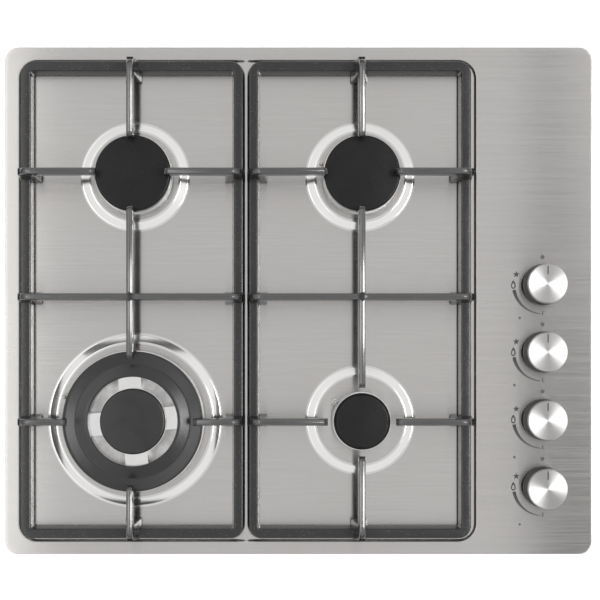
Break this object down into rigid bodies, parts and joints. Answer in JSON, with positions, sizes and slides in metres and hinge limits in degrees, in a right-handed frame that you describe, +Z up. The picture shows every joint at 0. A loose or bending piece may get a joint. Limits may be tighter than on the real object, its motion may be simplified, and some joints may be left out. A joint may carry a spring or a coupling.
{
  "type": "gas cooktop",
  "caption": "Built-in gas cooktop: brushed steel top with a shallow well, raised burner seats, black cast pan supports, a large ring burner and a column of push-and-turn knobs.",
  "frame": {"origin": "under the middle of the steel top, in the plane of the tray's floor", "axes": "+X to the user's right along the longer side, +Y to the back, +Z up"},
  "size_m": [0.58, 0.5, 0.096],
  "materials": {
    "steel_plate": "brushed along X",
    "galvanised_tray": "galvanised, matt",
    "foam_seal": "matt foam",
    "zinc_fixings": "zinc plated",
    "zinc_rail": "zinc plated tube",
    "brass_inlet": "machined",
    "tap_alloy": "die cast",
    "black_rubber": "matt",
    "cup_alloy": "die cast",
    "brass_jets": "machined",
    "tube_alloy": "drawn",
    "white_ceramic": "glazed",
    "generator_plastic": "moulded",
    "lead_sheath": "silicone",
    "switch_plastic": "moulded",
    "gland_plastic": "moulded",
    "tap_brass": "turned",
    "spring_steel": "plain",
    "spindle_steel": "turned",
    "knob_plastic": "moulded black",
    "knob_metal": "spun, clear lacquer",
    "crown_alloy": "die cast, machined lip",
    "cap_enamel": "matt black enamel",
    "support_enamel": "satin black enamel",
    "foot_rubber": "matt"
  },
  "bodies": {
    "cooktop": {"hob_plate": "steel_plate", "bottom_tray": "galvanised_tray", "worktop_seal": "foam_seal", "tray_nuts": "zinc_fixings", "worktop_clamps": "zinc_fixings", "clamp_screws": "zinc_fixings", "gas_rail": "zinc_rail", "gas_inlet": "brass_inlet", "tap_body_1": "tap_alloy", "tap_body_2": "tap_alloy", "tap_body_3": "tap_alloy", "tap_body_4": "tap_alloy", "spindle_seals": "black_rubber", "burner_cup_rear_left": "cup_alloy", "burner_cup_rear_right": "cup_alloy", "burner_cup_front_left": "cup_alloy", "burner_cup_front_right": "cup_alloy", "gas_jets": "brass_jets", "feed_tube_rear_left": "tube_alloy", "feed_tube_rear_right": "tube_alloy", "feed_tube_front_left": "tube_alloy", "feed_tube_front_right": "tube_alloy", "spark_electrodes": "white_ceramic", "spark_generator": "generator_plastic", "ignition_leads": "lead_sheath", "ignition_switches": "switch_plastic", "cable_gland": "gland_plastic"},
    "plug_1": {"tap_plug_1": "tap_brass", "tap_spring_1": "spring_steel"},
    "knob_1": {"tap_spindle_1": "spindle_steel", "knob_1": "knob_plastic", "knob_face_1": "knob_metal"},
    "plug_2": {"tap_plug_2": "tap_brass", "tap_spring_2": "spring_steel"},
    "knob_2": {"tap_spindle_2": "spindle_steel", "knob_2": "knob_plastic", "knob_face_2": "knob_metal"},
    "plug_3": {"tap_plug_3": "tap_brass", "tap_spring_3": "spring_steel"},
    "knob_3": {"tap_spindle_3": "spindle_steel", "knob_3": "knob_plastic", "knob_face_3": "knob_metal"},
    "plug_4": {"tap_plug_4": "tap_brass", "tap_spring_4": "spring_steel"},
    "knob_4": {"tap_spindle_4": "spindle_steel", "knob_4": "knob_plastic", "knob_face_4": "knob_metal"},
    "crown_rear_left": {"burner_crown_rear_left": "crown_alloy"},
    "cap_rear_left": {"burner_cap_rear_left": "cap_enamel"},
    "crown_rear_right": {"burner_crown_rear_right": "crown_alloy"},
    "cap_rear_right": {"burner_cap_rear_right": "cap_enamel"},
    "crown_front_left": {"burner_crown_front_left": "crown_alloy"},
    "cap_front_left": {"burner_cap_front_left": "cap_enamel"},
    "crown_front_right": {"burner_crown_front_right": "crown_alloy"},
    "cap_front_right": {"burner_cap_front_right": "cap_enamel"},
    "ring_cap": {"wok_ring_cap": "cap_enamel"},
    "support_left": {"pan_support_left": "support_enamel", "support_feet_left": "foot_rubber"},
    "support_right": {"pan_support_right": "support_enamel", "support_feet_right": "foot_rubber"}
  },
  "joints": [
    {"name": "turn_1", "type": "hinge", "parent": "cooktop", "child": "plug_1", "pos_m": [0.2395, 0.0157, 0.024], "axis": [0, 0, 1], "range_deg": [0, 180]},
    {"name": "push_1", "type": "slide", "parent": "plug_1", "child": "knob_1", "axis": [0, 0, -1], "range_m": [0, 0.0035], "stiffness_N_per_m": 1200, "springref_m": -0.002, "deforming": ["tap_spring_1"]},
    {"name": "turn_2", "type": "hinge", "parent": "cooktop", "child": "plug_2", "pos_m": [0.2395, -0.0505, 0.024], "axis": [0, 0, 1], "range_deg": [0, 180]},
    {"name": "push_2", "type": "slide", "parent": "plug_2", "child": "knob_2", "axis": [0, 0, -1], "range_m": [0, 0.0035], "stiffness_N_per_m": 1200, "springref_m": -0.002, "deforming": ["tap_spring_2"]},
    {"name": "turn_3", "type": "hinge", "parent": "cooktop", "child": "plug_3", "pos_m": [0.2395, -0.1167, 0.024], "axis": [0, 0, 1], "range_deg": [0, 180]},
    {"name": "push_3", "type": "slide", "parent": "plug_3", "child": "knob_3", "axis": [0, 0, -1], "range_m": [0, 0.0035], "stiffness_N_per_m": 1200, "springref_m": -0.002, "deforming": ["tap_spring_3"]},
    {"name": "turn_4", "type": "hinge", "parent": "cooktop", "child": "plug_4", "pos_m": [0.2395, -0.1829, 0.024], "axis": [0, 0, 1], "range_deg": [0, 180]},
    {"name": "push_4", "type": "slide", "parent": "plug_4", "child": "knob_4", "axis": [0, 0, -1], "range_m": [0, 0.0035], "stiffness_N_per_m": 1200, "springref_m": -0.002, "deforming": ["tap_spring_4"]},
    {"name": "lift_crown_rear_left", "type": "slide", "parent": "cooktop", "child": "crown_rear_left", "axis": [0, 0, 1], "range_m": [0, 0.0025]},
    {"name": "lift_cap_rear_left", "type": "slide", "parent": "crown_rear_left", "child": "cap_rear_left", "axis": [0, 0, 1], "range_m": [0, 0.0025]},
    {"name": "lift_crown_rear_right", "type": "slide", "parent": "cooktop", "child": "crown_rear_right", "axis": [0, 0, 1], "range_m": [0, 0.0025]},
    {"name": "lift_cap_rear_right", "type": "slide", "parent": "crown_rear_right", "child": "cap_rear_right", "axis": [0, 0, 1], "range_m": [0, 0.0025]},
    {"name": "lift_crown_front_left", "type": "slide", "parent": "cooktop", "child": "crown_front_left", "axis": [0, 0, 1], "range_m": [0, 0.0025]},
    {"name": "lift_cap_front_left", "type": "slide", "parent": "crown_front_left", "child": "cap_front_left", "axis": [0, 0, 1], "range_m": [0, 0.0025]},
    {"name": "lift_crown_front_right", "type": "slide", "parent": "cooktop", "child": "crown_front_right", "axis": [0, 0, 1], "range_m": [0, 0.0025]},
    {"name": "lift_cap_front_right", "type": "slide", "parent": "crown_front_right", "child": "cap_front_right", "axis": [0, 0, 1], "range_m": [0, 0.0025]},
    {"name": "lift_ring_cap", "type": "slide", "parent": "crown_front_left", "child": "ring_cap", "axis": [0, 0, 1], "range_m": [0, 0.0025]},
    {"name": "lift_support_left", "type": "slide", "parent": "cooktop", "child": "support_left", "axis": [0, 0, 1], "range_m": [0, 0.12]},
    {"name": "lift_support_right", "type": "slide", "parent": "cooktop", "child": "support_right", "axis": [0, 0, 1], "range_m": [0, 0.12]}
  ]
}
